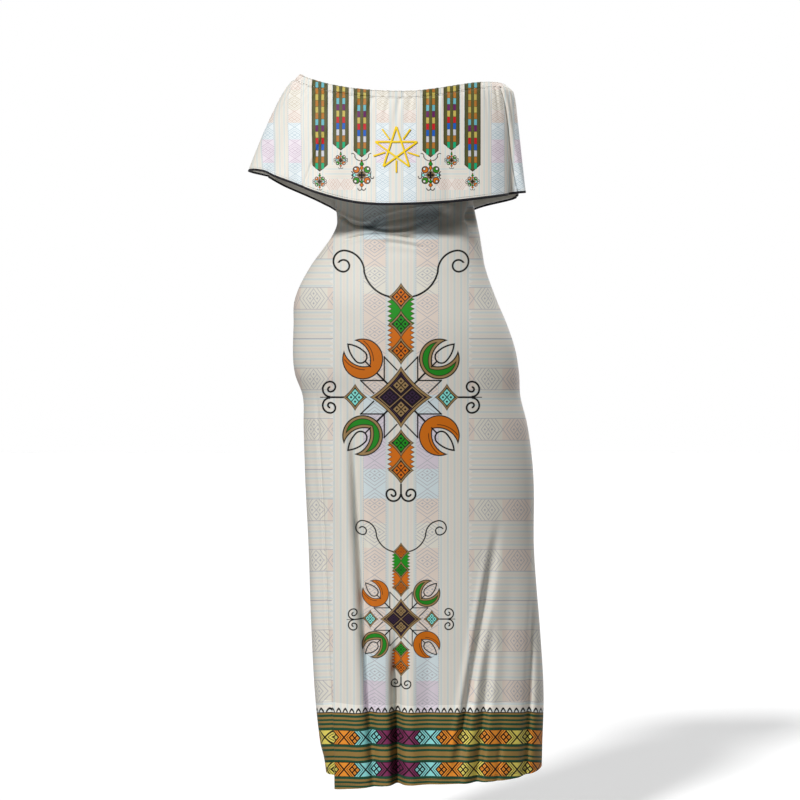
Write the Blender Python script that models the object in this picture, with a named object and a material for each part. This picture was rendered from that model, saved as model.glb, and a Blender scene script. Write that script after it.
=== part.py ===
"""Off-shoulder habesha kemis in its worn form: an ankle-length body of two panels under a deep flounce.

Metres, +Z up. The back of the dress faces +Y, and +X is its left side as worn. The origin is the middle of
the neckline, whose elastic casing carries the dress. Angles run round the dress from the left side seam (0)
by the centre back (90) and the right side seam (180) to the centre front (270).
"""

import math
from typing import NamedTuple

import bpy
from mathutils import Vector

for old in list(bpy.data.objects):
    bpy.data.objects.remove(old)

# Driving dimensions

WALL = 0.0012  # cloth
SEAM_GAP = 0.0003  # between sewn pieces
CASING_WALL = 0.0030  # doubled cloth round its elastic
BINDING_WALL = 0.0022
BINDING_HEIGHT = 0.0045
FLOUNCE_DEPTH = 0.200  # down the back, below the casing

UNDERARM = -0.095  # height of the armholes' lowest point
CHEST = -0.135  # below this the body's rows lie level
LOW_SKIRT = -1.240  # below this its rows fan out to the hem
HEM = -1.315  # mean height of the hem
ARMHOLE_LOW_ANGLE = 20  # from the side seam: flat bottom of the armhole
ARMHOLE_HIGH_ANGLE = 50  # from the side seam: where the panel reaches the neckline

SEAM_ANGLE_GAP = 0.08  # degrees kept free on each side of a side seam


class Ring(NamedTuple):
    """A level or dipping oval round the dress: reach and height at its four quarters."""

    left: float
    right: float
    back: float
    front: float
    z_left: float
    z_right: float
    z_back: float
    z_front: float
    dip_left: float  # power of the change of height from the side to the centre
    dip_right: float


NECKLINE = Ring(0.1955, 0.1978, 0.112, 0.124, 0.0260, 0.0044, -0.0340, -0.0400, 2.5, 1.7)
CASING_LOW = Ring(0.2065, 0.2100, 0.114, 0.128, 0.0155, -0.0048, -0.0470, -0.0530, 2.5, 1.7)
FLOUNCE_HEM = Ring(0.2880, 0.2335, 0.152, 0.196, -0.1570, -0.1960, -0.2350, -0.2400, 3.0, 1.4)
SKIRT_HEM = Ring(1, 1, 1, 1, -1.3340, -1.2980, -1.3110, -1.3180, 2.0, 1.2)  # only its heights are used


class Section(NamedTuple):
    """A level section of the body: reach to each side and to back and front."""

    z: float
    left: float
    right: float
    back: float
    front: float
    turn: float  # degrees, which brings the left side backwards


SECTIONS = [
    Section(0.030, 0.1640, 0.1740, 0.1130, 0.1380, 0),
    Section(-0.095, 0.1600, 0.1700, 0.1130, 0.1400, 0),
    Section(-0.135, 0.1530, 0.1620, 0.1120, 0.1420, 0),
    Section(-0.175, 0.1400, 0.1540, 0.1070, 0.1370, 0),
    Section(-0.211, 0.1305, 0.1364, 0.0990, 0.1240, 0),
    Section(-0.257, 0.1244, 0.1440, 0.0940, 0.1160, 0),
    Section(-0.284, 0.1340, 0.1494, 0.0980, 0.1190, 0),
    Section(-0.311, 0.1526, 0.1536, 0.1060, 0.1240, 0),
    Section(-0.344, 0.1763, 0.1594, 0.1180, 0.1290, 0),
    Section(-0.407, 0.2059, 0.1814, 0.1380, 0.1350, 0),
    Section(-0.455, 0.2079, 0.2016, 0.1470, 0.1370, 0),
    Section(-0.503, 0.2092, 0.2175, 0.1500, 0.1370, 1),
    Section(-0.550, 0.2050, 0.2250, 0.1490, 0.1365, 2),
    Section(-0.590, 0.1905, 0.2271, 0.1460, 0.1365, 3),
    Section(-0.647, 0.1887, 0.2411, 0.1420, 0.1365, 4),
    Section(-0.743, 0.1860, 0.2532, 0.1380, 0.1380, 6),
    Section(-0.887, 0.1791, 0.2547, 0.1360, 0.1400, 7),
    Section(-1.031, 0.1744, 0.2661, 0.1370, 0.1430, 8),
    Section(-1.175, 0.1663, 0.2740, 0.1390, 0.1470, 9),
    Section(-1.271, 0.1557, 0.2713, 0.1410, 0.1500, 10),
    Section(-1.360, 0.1450, 0.2694, 0.1430, 0.1520, 10),
]
SQUARENESS = 2.15  # 2 is an ellipse


class LongFold(NamedTuple):
    """A fold that runs down a panel. Depth is inwards, so a ridge has a negative depth."""

    x_top: float
    z_top: float
    x_low: float
    z_low: float
    width: float
    depth: float


BACK_FOLDS = [
    LongFold(0.172, -0.58, 0.127, -1.40, 0.012, 0.012),
    LongFold(0.096, -0.66, 0.088, -1.20, 0.016, 0.006),
    LongFold(0.046, -1.02, 0.044, -1.45, 0.012, 0.006),
    LongFold(0.006, -1.08, 0.000, -1.45, 0.012, 0.008),
    LongFold(-0.046, -0.95, -0.048, -1.40, 0.012, 0.004),
    LongFold(-0.118, -0.88, -0.100, -1.30, 0.014, -0.006),
    LongFold(-0.136, -0.90, -0.142, -1.45, 0.013, 0.006),
    LongFold(-0.196, -0.90, -0.166, -1.28, 0.015, 0.005),
    LongFold(-0.236, -0.86, -0.244, -1.45, 0.012, 0.010),
]
FRONT_FOLDS = [
    LongFold(0.150, -0.60, 0.118, -1.45, 0.016, 0.010),
    LongFold(0.080, -0.85, 0.070, -1.45, 0.016, 0.006),
    LongFold(0.022, -0.72, 0.012, -1.40, 0.018, -0.005),
    LongFold(-0.036, -0.92, -0.040, -1.45, 0.014, 0.007),
    LongFold(-0.105, -0.66, -0.112, -1.45, 0.018, 0.008),
    LongFold(-0.190, -0.80, -0.200, -1.45, 0.015, 0.009),
]


class WaistFold(NamedTuple):
    """A crease across a panel's waist: heights at its ends and its middle."""

    x_left: float
    x_right: float
    z_left: float
    z_middle: float
    z_right: float
    width: float
    depth: float


BACK_WAIST_FOLDS = [
    WaistFold(0.122, -0.140, -0.247, -0.279, -0.231, 0.009, 0.006),
    WaistFold(0.115, -0.090, -0.266, -0.292, -0.273, 0.008, 0.004),
    WaistFold(0.112, -0.035, -0.302, -0.290, -0.303, 0.007, 0.003),
]
FRONT_WAIST_FOLDS = [
    WaistFold(0.118, -0.120, -0.236, -0.262, -0.240, 0.010, 0.005),
    WaistFold(0.095, -0.125, -0.290, -0.281, -0.286, 0.009, 0.003),
]


class Wave(NamedTuple):
    """A wave of the flounce that grows from the neckline to the hem. A positive height stands out."""

    angle: float
    width: float  # degrees
    height: float  # at the hem


FLOUNCE_WAVES = [
    Wave(4, 9, 0.006),
    Wave(25, 8, -0.006),
    Wave(38, 8, 0.005),
    Wave(49, 5, -0.007),
    Wave(60, 8, 0.004),
    Wave(73, 6, -0.005),
    Wave(96, 12, 0.004),
    Wave(118, 9, -0.004),
    Wave(138, 9, 0.004),
    Wave(157, 5, -0.012),
    Wave(167, 6, 0.008),
    Wave(186, 8, -0.007),
    Wave(204, 9, 0.009),
    Wave(223, 8, -0.008),
    Wave(243, 9, 0.008),
    Wave(262, 8, -0.006),
    Wave(281, 9, 0.008),
    Wave(300, 8, -0.008),
    Wave(319, 9, 0.008),
    Wave(340, 8, -0.007),
]

SPREAD_OVER_BODY = 0.85  # power of the flounce's way out from the casing: under 1, it starts fast
SPREAD_OVER_LEFT_ARM, SPREAD_OVER_RIGHT_ARM = 0.70, 0.52
WAVE_GROWTH = 1.4

# How many cells each piece has across and down

BACK_COLUMNS, FRONT_COLUMNS = 44, 30
LEVELS = [
    0, -0.035, -0.070, -0.105, CHEST, -0.175, -0.211, -0.228, -0.242, -0.254, -0.265, -0.275, -0.285, -0.295,
    -0.306, -0.325, -0.350, -0.380, -0.415, -0.455, -0.500, -0.550, -0.590, -0.640, -0.700, -0.770, -0.840,
    -0.910, -0.980, -1.050, -1.120, -1.180, LOW_SKIRT, -1.280, HEM,
]
FLOUNCE_COLUMNS, FLOUNCE_ROWS, CASING_COLUMNS = 44, 6, 88


# Curves and surfaces


def smooth(share):
    share = min(1.0, max(0.0, share))
    return share * share * (3 - 2 * share)


def power(value, exponent):
    return math.copysign(abs(value) ** exponent, value)


def section_at(z):
    """The body's section at a height, on a smooth curve through the rows above."""
    z = min(SECTIONS[0].z, max(SECTIONS[-1].z, z))
    lower = next(k for k in range(1, len(SECTIONS)) if SECTIONS[k].z <= z)
    rows = [SECTIONS[max(0, lower - 2)], SECTIONS[lower - 1], SECTIONS[lower]]
    rows.append(SECTIONS[min(len(SECTIONS) - 1, lower + 1)])
    before, start, end, after = rows
    span = end.z - start.z
    share = (z - start.z) / span
    h_end = share * share * (3 - 2 * share)
    values = []
    for column in range(1, len(Section._fields)):
        slopes = [
            (b[column] - a[column]) / (b[0] - a[0]) if b[0] != a[0] else 0.0
            for a, b in ((before, start), (start, end), (end, after))
        ]
        slope_start = (slopes[0] + slopes[1]) / 2 if slopes[0] * slopes[1] > 0 else 0.0
        slope_end = (slopes[1] + slopes[2]) / 2 if slopes[1] * slopes[2] > 0 else 0.0
        values.append(
            start[column] * (1 - h_end)
            + end[column] * h_end
            + span * slope_start * share * (1 - share) ** 2
            - span * slope_end * share**2 * (1 - share)
        )
    return Section(z, *values)


def long_fold_depth(folds, x, z):
    total = 0.0
    for fold in folds:
        share = (z - fold.z_top) / (fold.z_low - fold.z_top)
        if not 0 < share < 1:
            continue
        middle = fold.x_top + (fold.x_low - fold.x_top) * share
        fade = smooth(share * 3) * smooth((1 - share) * 4)
        total += fold.depth * fade * math.exp(-(((x - middle) / fold.width) ** 2))
    return total


def waist_fold_depth(folds, x, z):
    total = 0.0
    for fold in folds:
        share = (x - fold.x_left) / (fold.x_right - fold.x_left)
        if not 0 < share < 1:
            continue
        sag = 4 * share * (1 - share)
        chord = fold.z_left + (fold.z_right - fold.z_left) * share
        mid_chord = (fold.z_left + fold.z_right) / 2
        height = chord + (fold.z_middle - mid_chord) * sag
        fade = smooth(share * 5) * smooth((1 - share) * 5)
        total += fold.depth * fade * math.exp(-(((z - height) / fold.width) ** 2))
    return total


def oval(row, angle, squareness=2.0):
    """A point and the outward direction of a ring's or section's level oval, at an angle in degrees."""
    centre, half = (row.left - row.right) / 2, (row.left + row.right) / 2
    c, s = math.cos(math.radians(angle)), math.sin(math.radians(angle))
    reach = row.back if s >= 0 else row.front
    point = Vector((centre + half * power(c, 2 / squareness), reach * power(s, 2 / squareness), 0))
    outward = Vector((reach * power(c, 2 - 2 / squareness), half * power(s, 2 - 2 / squareness), 0))
    return point, outward.normalized()


def ring_height(ring, angle):
    c, s = math.cos(math.radians(angle)), math.sin(math.radians(angle))
    side = ring.z_left * (1 + c) / 2 + ring.z_right * (1 - c) / 2
    centre = ring.z_back if s > 0 else ring.z_front
    return side + (centre - side) * abs(s) ** (ring.dip_left if c > 0 else ring.dip_right)


def ring_point(ring, angle, inset=0.0):
    """A point on a ring, or inset from it."""
    point, outward = oval(ring, angle)
    return Vector((*(point - outward * inset).xy, ring_height(ring, angle)))


def body_point(angle, z):
    """A point on the outside of the body. Towards the casing its section becomes the neckline's oval."""
    row = section_at(z)
    point, outward = oval(row, angle, SQUARENESS)
    top = ring_point(CASING_LOW, angle, WALL + SEAM_GAP)
    point = point.lerp(Vector((*top.xy, 0)), smooth((z - CHEST) / (top.z - SEAM_GAP - CHEST)))
    turn = math.radians(row.turn)
    pivot = (row.left - row.right) / 2
    x = pivot + (point.x - pivot) * math.cos(turn) - point.y * math.sin(turn)
    y = (point.x - pivot) * math.sin(turn) + point.y * math.cos(turn)
    at_back = math.sin(math.radians(angle)) > 0
    folds, creases = (BACK_FOLDS, BACK_WAIST_FOLDS) if at_back else (FRONT_FOLDS, FRONT_WAIST_FOLDS)
    seam_fade = smooth(abs(math.sin(math.radians(angle))) * 3)
    depth = seam_fade * (long_fold_depth(folds, x, z) + waist_fold_depth(creases, x, z))
    return Vector((x, y, z)) - outward * depth


def body_height(angle, level):
    """The real height of a row: the top rows end on the neckline and armholes, the last on the hem."""
    if level > CHEST:
        neck = ring_height(CASING_LOW, angle) - SEAM_GAP
        from_seam = math.degrees(math.asin(abs(math.sin(math.radians(angle)))))
        rise = smooth((from_seam - ARMHOLE_LOW_ANGLE) / (ARMHOLE_HIGH_ANGLE - ARMHOLE_LOW_ANGLE))
        top = UNDERARM + (neck - UNDERARM) * rise
        return CHEST + (top - CHEST) * (level - CHEST) / -CHEST
    if level < LOW_SKIRT:
        hem = ring_height(SKIRT_HEM, angle)
        return LOW_SKIRT + (hem - LOW_SKIRT) * (level - LOW_SKIRT) / (HEM - LOW_SKIRT)
    return level


def flounce_point(angle, share):
    """A point on the outside of the flounce, from the casing (share 0) to the flounce's hem (share 1)."""
    at_arm = math.cos(math.radians(angle)) ** 2
    over_arm = SPREAD_OVER_LEFT_ARM if math.cos(math.radians(angle)) > 0 else SPREAD_OVER_RIGHT_ARM
    spread = SPREAD_OVER_BODY * (1 - at_arm) + over_arm * at_arm
    top, low = ring_point(CASING_LOW, angle), ring_point(FLOUNCE_HEM, angle)
    reached = max(0.0, share) ** spread
    height = top.z + (low.z - top.z) * share
    wave = 0.0
    for row in FLOUNCE_WAVES:
        off = (angle - row.angle + 180) % 360 - 180
        wave += row.height * math.exp(-((off / row.width) ** 2))
    _, outward = oval(FLOUNCE_HEM, angle)
    point = top.lerp(low, reached) + outward * wave * max(0.0, share) ** WAVE_GROWTH
    return Vector((point.x, point.y, height))


# Closed walls of cloth


def normal_of(surface, across, down):
    """The outward normal of a surface, from four points round the place."""
    turn, drop = 0.2, 0.004
    u = surface(across + turn, down) - surface(across - turn, down)
    v = surface(across, down + drop) - surface(across, down - drop)
    normal = u.cross(v).normalized()
    return normal if normal.dot(Vector((*surface(across, down).xy, 0))) > 0 else -normal


def wall_mesh(name, outer, inner, loop=False):
    """A closed mesh between two grids of points, [row][column]. A loop joins its last column to its first."""
    rows, columns = len(outer), len(outer[0])
    points = [p for row in outer for p in row] + [p for row in inner for p in row]
    back = rows * columns

    def at(r, c):
        return r * columns + c % columns

    faces = []
    spans = columns if loop else columns - 1
    for r in range(rows - 1):
        for c in range(spans):
            a, b, d, e = at(r, c), at(r, c + 1), at(r + 1, c + 1), at(r + 1, c)
            faces.append((a, e, d, b))
            faces.append((back + a, back + b, back + d, back + e))
    for c in range(spans):
        top, low = (at(0, c), at(0, c + 1)), (at(rows - 1, c), at(rows - 1, c + 1))
        faces.append((top[0], top[1], back + top[1], back + top[0]))
        faces.append((low[1], low[0], back + low[0], back + low[1]))
    for r in range(rows - 1) if not loop else ():
        first, last = (at(r, 0), at(r + 1, 0)), (at(r, columns - 1), at(r + 1, columns - 1))
        faces.append((first[1], first[0], back + first[0], back + first[1]))
        faces.append((last[0], last[1], back + last[1], back + last[0]))
    mesh = bpy.data.meshes.new(name)
    mesh.from_pydata([tuple(p) for p in points], [], faces)
    mesh.update()
    return mesh


def material(name, colour, roughness):
    """A plain cloth material."""
    made = bpy.data.materials.new(name)
    made.use_nodes = True
    shader = made.node_tree.nodes["Principled BSDF"]
    shader.inputs["Base Color"].default_value = (*colour, 1)
    shader.inputs["Roughness"].default_value = roughness
    shader.inputs["Metallic"].default_value = 0
    return made


def add_piece(name, mesh, finish):
    """Puts a finished mesh in the scene as one sewn piece."""
    mesh.materials.append(finish)
    mesh.shade_smooth()
    mesh.set_sharp_from_angle(angle=math.radians(50))
    piece = bpy.data.objects.new(name, mesh)
    bpy.context.scene.collection.objects.link(piece)
    return piece


def cloth_piece(name, surface, acrosses, downs, wall, finish, sink=0.0):
    """A wall of cloth under a surface: its outer face lies sink below the surface."""
    outer, inner = [], []
    for down in downs:
        points = [surface(across, down) for across in acrosses]
        normals = [normal_of(surface, across, down) for across in acrosses]
        outer.append([p - n * sink for p, n in zip(points, normals)])
        inner.append([p - n * (sink + wall) for p, n in zip(points, normals)])
    return add_piece(name, wall_mesh(name, outer, inner), finish)


def steps(start, end, count):
    return [start + (end - start) * k / count for k in range(count + 1)]


def half_round(first_seam, columns):
    """Angles from one side seam to the next."""
    return steps(first_seam + SEAM_ANGLE_GAP, first_seam + 180 - SEAM_ANGLE_GAP, columns)


# Body panels, each in one piece from the casing and the armholes to the hem

CLOTH = material("printed_cloth", (0.80, 0.78, 0.74), 0.75)
BINDING = material("black_binding", (0.02, 0.02, 0.02), 0.6)


def body_surface(angle, level):
    return body_point(angle, body_height(angle, level))


cloth_piece("back_panel", body_surface, half_round(0, BACK_COLUMNS), LEVELS, WALL, CLOTH)
cloth_piece("front_panel", body_surface, half_round(180, FRONT_COLUMNS), LEVELS, WALL, CLOTH)

# Flounce, and the binding on its hem

FLOUNCE_GAP = SEAM_GAP / FLOUNCE_DEPTH
BINDING_SHARES = [1 + FLOUNCE_GAP, 1 + FLOUNCE_GAP + BINDING_HEIGHT / FLOUNCE_DEPTH]
BINDING_STANDS_OUT = (BINDING_WALL - WALL) / 2

for side, first_seam in (("back", 0), ("front", 180)):
    angles = half_round(first_seam, FLOUNCE_COLUMNS)
    flounce_shares = steps(FLOUNCE_GAP, 1, FLOUNCE_ROWS)
    cloth_piece("flounce_" + side, flounce_point, angles, flounce_shares, WALL, CLOTH)
    cloth_piece(
        "binding_" + side, flounce_point, angles, BINDING_SHARES, BINDING_WALL, BINDING, -BINDING_STANDS_OUT
    )

# Elastic casing round the neckline, in one ring that spans both armholes

CASING_RINGS = (NECKLINE, CASING_LOW)
ring_angles = steps(0, 360, CASING_COLUMNS)[:-1]
casing_outer = [[ring_point(ring, angle) for angle in ring_angles] for ring in CASING_RINGS]
casing_inner = [[ring_point(ring, angle, CASING_WALL) for angle in ring_angles] for ring in CASING_RINGS]
add_piece("neck_casing", wall_mesh("neck_casing", casing_outer, casing_inner, loop=True), CLOTH)
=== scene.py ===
"""An off-shoulder habesha kemis in printed satin-faced cloth, seen from behind.

Metres, +Z up. The back of the dress faces +Y and +X is its left side as worn. The sheets of cloth repeat the
form of the solids that they stand for. Each carries a map named "print", in metres: across from the middle of
its panel, positive to the right as one faces it, and up.
"""

import math
from typing import NamedTuple

import bpy
import numpy as np
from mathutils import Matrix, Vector


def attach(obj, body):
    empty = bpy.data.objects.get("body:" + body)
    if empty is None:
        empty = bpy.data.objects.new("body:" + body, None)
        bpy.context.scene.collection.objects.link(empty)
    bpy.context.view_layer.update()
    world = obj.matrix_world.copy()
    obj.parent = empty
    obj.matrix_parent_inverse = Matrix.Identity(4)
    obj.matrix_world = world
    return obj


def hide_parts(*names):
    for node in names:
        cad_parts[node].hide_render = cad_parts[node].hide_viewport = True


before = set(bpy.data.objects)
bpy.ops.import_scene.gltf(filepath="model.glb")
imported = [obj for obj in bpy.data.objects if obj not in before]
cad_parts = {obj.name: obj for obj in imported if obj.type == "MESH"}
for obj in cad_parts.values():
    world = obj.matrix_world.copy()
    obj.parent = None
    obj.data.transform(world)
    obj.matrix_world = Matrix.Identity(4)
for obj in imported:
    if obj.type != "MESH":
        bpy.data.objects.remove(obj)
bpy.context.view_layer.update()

# Camera, level and square to the back of the dress

CAMERA_AT, CAMERA_LENS = (0.00384, 4.0, -0.599), 93.75

bpy.ops.object.select_all(action="DESELECT")
bpy.ops.object.camera_add(location=CAMERA_AT, rotation=(math.radians(90), 0, math.radians(180)))
camera = bpy.context.object
camera.data.lens = CAMERA_LENS
bpy.context.scene.camera = camera

# Studio: a pale floor, a white surround, a high soft key behind the camera, a weak rim from the dress's
# right, a low lamp from its left and a weak fill in front

FLOOR_HEIGHT = -1.46
FLOOR_SIZE = 60
PAPER_ROUGHNESS, PAPER_GLOW = 0.8, 0.3
PAPER_SEEN, PAPER_LIT = (0.75, 0.75, 0.75, 1), (0.12, 0.12, 0.12, 1)  # to the camera, and to light
KEY_FROM, KEY_STRENGTH, KEY_SOFTNESS = (0.40, 0.68, 0.60), 3.0, 8
RIM_FROM, RIM_STRENGTH, RIM_SOFTNESS = (-0.85, 0.25, 0.65), 0.70, 20
SIDE_AT, SIDE_AIM, SIDE_STRENGTH, SIDE_SIZE = (1.7, 1.25, -1.2), (0, 0, -0.4), 5.0, 0.5
FILL_FROM, FILL_STRENGTH, FILL_SOFTNESS = (-0.50, -0.75, 0.45), 1.6, 60
SKY_STRENGTH, SKY_COLOUR = 0.09, (0.97, 0.985, 1, 1)


def show_camera(tree, seen, unseen, output):
    """Lets the camera see one shader, while another meets the light."""
    ray = tree.nodes.new("ShaderNodeLightPath")
    either = tree.nodes.new("ShaderNodeMixShader")
    tree.links.new(ray.outputs["Is Camera Ray"], either.inputs[0])
    tree.links.new(unseen.outputs[0], either.inputs[1])
    tree.links.new(seen.outputs[0], either.inputs[2])
    tree.links.new(either.outputs[0], tree.nodes[output].inputs["Surface"])


bpy.ops.mesh.primitive_plane_add(size=FLOOR_SIZE, location=(0, 0, FLOOR_HEIGHT))
floor = bpy.context.object
floor.name = "floor"
paper = bpy.data.materials.new("white_paper")
paper.use_nodes = True
lit = paper.node_tree.nodes["Principled BSDF"]
lit.inputs["Base Color"].default_value = PAPER_SEEN
lit.inputs["Roughness"].default_value = PAPER_ROUGHNESS
lit.inputs["Emission Color"].default_value = (1, 1, 1, 1)
lit.inputs["Emission Strength"].default_value = PAPER_GLOW
dull = paper.node_tree.nodes.new("ShaderNodeBsdfDiffuse")
dull.inputs["Color"].default_value = PAPER_LIT
show_camera(paper.node_tree, lit, dull, "Material Output")
floor.data.materials.append(paper)

for name, source, strength, softness in (
    ("key", KEY_FROM, KEY_STRENGTH, KEY_SOFTNESS),
    ("rim", RIM_FROM, RIM_STRENGTH, RIM_SOFTNESS),
    ("fill", FILL_FROM, FILL_STRENGTH, FILL_SOFTNESS),
):
    bpy.ops.object.light_add(type="SUN", rotation=Vector(source).to_track_quat("Z", "Y").to_euler())
    lamp = bpy.context.object
    lamp.name = name
    lamp.data.energy = strength
    lamp.data.angle = math.radians(softness)
to_side = Vector(SIDE_AT) - Vector(SIDE_AIM)
bpy.ops.object.light_add(type="AREA", location=SIDE_AT, rotation=to_side.to_track_quat("Z", "Y").to_euler())
bpy.context.object.name = "side"
bpy.context.object.data.energy = SIDE_STRENGTH
bpy.context.object.data.size = SIDE_SIZE

world = bpy.data.worlds.new("surround")
bpy.context.scene.world = world
world.use_nodes = True
sky = world.node_tree
dim = sky.nodes.new("ShaderNodeBackground")
dim.inputs["Color"].default_value = SKY_COLOUR
dim.inputs["Strength"].default_value = SKY_STRENGTH
white = sky.nodes.new("ShaderNodeBackground")
white.inputs["Color"].default_value = (1, 1, 1, 1)
show_camera(sky, white, dim, "World Output")
bpy.context.scene.view_settings.view_transform = "Standard"

# Body
# Two panels of printed polyester satin, back and front, sewn down both sides from the armholes to the hem.
# The cloth is cut flaring from the waist, and hangs in long soft folds.

CLOTH = 0.0010
WALL = 0.0012  # of the solids that the sheets stand for
SEAM_GAP = 0.0003
UNDERARM = -0.095
CHEST = -0.135
LOW_SKIRT = -1.240
HEM = -1.315
ARMHOLE_ANGLES = (20, 50)  # from the side seam
SEAM_ANGLE_GAP = 0.08
SQUARENESS = 2.15


class Ring(NamedTuple):
    """A dipping oval round the dress: reach and height at its quarters, and powers of the dip between."""

    left: float
    right: float
    back: float
    front: float
    z_left: float
    z_right: float
    z_back: float
    z_front: float
    dip_left: float
    dip_right: float
    front_dip: float = 1.0  # share of those powers in front


CASING_LOW = Ring(0.2065, 0.2100, 0.114, 0.128, 0.0155, -0.0048, -0.0345, -0.0530, 1.5, 3.6)
SKIRT_HEM = Ring(1, 1, 1, 1, -1.3340, -1.2980, -1.3110, -1.3180, 2.0, 1.2)  # only its heights are used

# level sections of the body: height, reach to the left, right, back and front, and turn in degrees
SECTIONS = [
    (0.03, 0.164, 0.174, 0.113, 0.138, 0),
    (-0.095, 0.16, 0.17, 0.113, 0.14, 0),
    (-0.135, 0.153, 0.162, 0.112, 0.142, 0),
    (-0.175, 0.14, 0.154, 0.107, 0.137, 0),
    (-0.211, 0.1305, 0.1364, 0.099, 0.124, 0),
    (-0.257, 0.1244, 0.144, 0.094, 0.116, 0),
    (-0.284, 0.134, 0.1494, 0.098, 0.119, 0),
    (-0.311, 0.1526, 0.1536, 0.106, 0.124, 0),
    (-0.344, 0.1763, 0.1594, 0.118, 0.129, 0),
    (-0.407, 0.2059, 0.1814, 0.138, 0.135, 0),
    (-0.455, 0.2079, 0.2016, 0.147, 0.137, 0),
    (-0.503, 0.2092, 0.2175, 0.15, 0.137, 1),
    (-0.55, 0.205, 0.225, 0.149, 0.1365, 2),
    (-0.59, 0.1905, 0.2271, 0.146, 0.1365, 3),
    (-0.647, 0.1887, 0.2411, 0.142, 0.1365, 4),
    (-0.743, 0.186, 0.2532, 0.138, 0.138, 6),
    (-0.887, 0.1791, 0.2547, 0.136, 0.14, 7),
    (-1.031, 0.1744, 0.2661, 0.137, 0.143, 8),
    (-1.175, 0.1663, 0.274, 0.139, 0.147, 9),
    (-1.271, 0.1557, 0.2713, 0.141, 0.15, 10),
    (-1.36, 0.145, 0.2694, 0.143, 0.152, 10),
]
# folds down a panel: x and height at the top, the same at the foot, width, and depth, below 0 for a ridge
BACK_FOLDS = [
    (0.172, -0.58, 0.134, -1.4, 0.012, 0.007),
    (0.163, -0.52, 0.13, -1.42, 0.0038, 0.009),
    (0.12, -0.58, 0.074, -1.42, 0.016, -0.009),
    (0.098, -0.56, 0.042, -1.44, 0.0095, 0.018),
    (0.062, -1.00, 0.04, -1.45, 0.007, -0.004),
    (0.0135, -1.00, 0.006, -1.47, 0.0095, 0.031),
    (-0.016, -1.02, -0.022, -1.45, 0.01, -0.004),
    (-0.046, -0.95, -0.052, -1.45, 0.014, 0.004),
    (-0.171, -0.82, -0.08, -1.32, 0.0065, -0.005),
    (-0.186, -0.8, -0.094, -1.32, 0.0095, 0.012),
    (-0.15, -1.00, -0.104, -1.42, 0.008, -0.004),
    (-0.172, -0.99, -0.128, -1.42, 0.009, 0.014),
    (-0.206, -0.88, -0.176, -1.34, 0.016, 0.004),
    (-0.254, -0.92, -0.226, -1.45, 0.009, 0.014),
    (-0.188, -1.2, -0.176, -1.34, 0.005, 0.004),
]
FRONT_FOLDS = [
    (0.15, -0.6, 0.118, -1.45, 0.016, 0.01),
    (0.08, -0.85, 0.07, -1.45, 0.016, 0.006),
    (0.022, -0.72, 0.012, -1.4, 0.018, -0.005),
    (-0.036, -0.92, -0.04, -1.45, 0.014, 0.007),
    (-0.105, -0.66, -0.112, -1.45, 0.018, 0.008),
    (-0.19, -0.8, -0.2, -1.45, 0.015, 0.009),
    (0.112, -0.74, 0.1, -1.3, 0.007, -0.0025),
    (-0.068, -0.9, -0.074, -1.4, 0.006, -0.002),
    (-0.15, -0.7, -0.16, -1.12, 0.008, -0.0025),
    (0.048, -1.00, 0.046, -1.42, 0.006, 0.002),
]
# creases across a panel's waist: x of both ends, heights of the left end, middle and right end, width, depth
BACK_WAIST_FOLDS = [
    (0.136, 0.04, -0.224, -0.261, -0.261, 0.005, -0.007),
    (0.136, 0.036, -0.232, -0.269, -0.266, 0.004, 0.013),
    (0.086, -0.104, -0.266, -0.243, -0.231, 0.005, -0.007),
    (0.074, -0.1, -0.272, -0.2535, -0.241, 0.0075, 0.018),
    (0.09, -0.078, -0.262, -0.28, -0.242, 0.0036, 0.011),
    (0.07, -0.06, -0.276, -0.288, -0.262, 0.005, -0.003),
    (-0.052, -0.156, -0.26, -0.262, -0.236, 0.017, 0.02),
    (0.126, -0.04, -0.302, -0.2885, -0.302, 0.003, 0.006),
    (0.126, -0.034, -0.308, -0.295, -0.308, 0.0042, -0.002),
    (0.044, -0.05, -0.304, -0.308, -0.317, 0.0042, 0.0026),
    (0.1, -0.1, -0.33, -0.324, -0.342, 0.009, 0.0016),
]
FRONT_WAIST_FOLDS = [
    (0.118, -0.12, -0.236, -0.262, -0.24, 0.01, 0.005),
    (0.095, -0.125, -0.29, -0.281, -0.286, 0.009, 0.003),
    (0.105, -0.07, -0.25, -0.274, -0.256, 0.005, 0.002),
    (0.06, -0.12, -0.306, -0.297, -0.31, 0.005, 0.0016),
]


def smooth(share):
    """A soft step from 0 to 1."""
    share = np.clip(share, 0, 1)
    return share * share * (3 - 2 * share)


def power(value, exponent):
    """A power that keeps the value's sign."""
    return np.sign(value) * np.abs(value) ** exponent


def section_at(z):
    """The body's sections at an array of heights, on smooth curves through the rows above."""
    knots = np.array(SECTIONS)
    z = np.clip(z, knots[-1, 0], knots[0, 0])
    lower = np.clip(np.searchsorted(-knots[:, 0], -z), 1, len(knots) - 1)
    start, end = knots[lower - 1], knots[lower]
    slopes = np.diff(knots[:, 1:], axis=0) / np.diff(knots[:, 0])[:, None]
    at_knots = np.zeros((len(knots), slopes.shape[1]))
    at_knots[1:-1] = np.where(slopes[:-1] * slopes[1:] > 0, (slopes[:-1] + slopes[1:]) / 2, 0)
    span = (end[..., 0] - start[..., 0])[..., None]
    share = (z - start[..., 0])[..., None] / span
    values = start[..., 1:] + (end[..., 1:] - start[..., 1:]) * share * share * (3 - 2 * share)
    values += span * at_knots[lower - 1] * share * (1 - share) ** 2
    values -= span * at_knots[lower] * share**2 * (1 - share)
    return [values[..., k] for k in range(values.shape[-1])]


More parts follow.
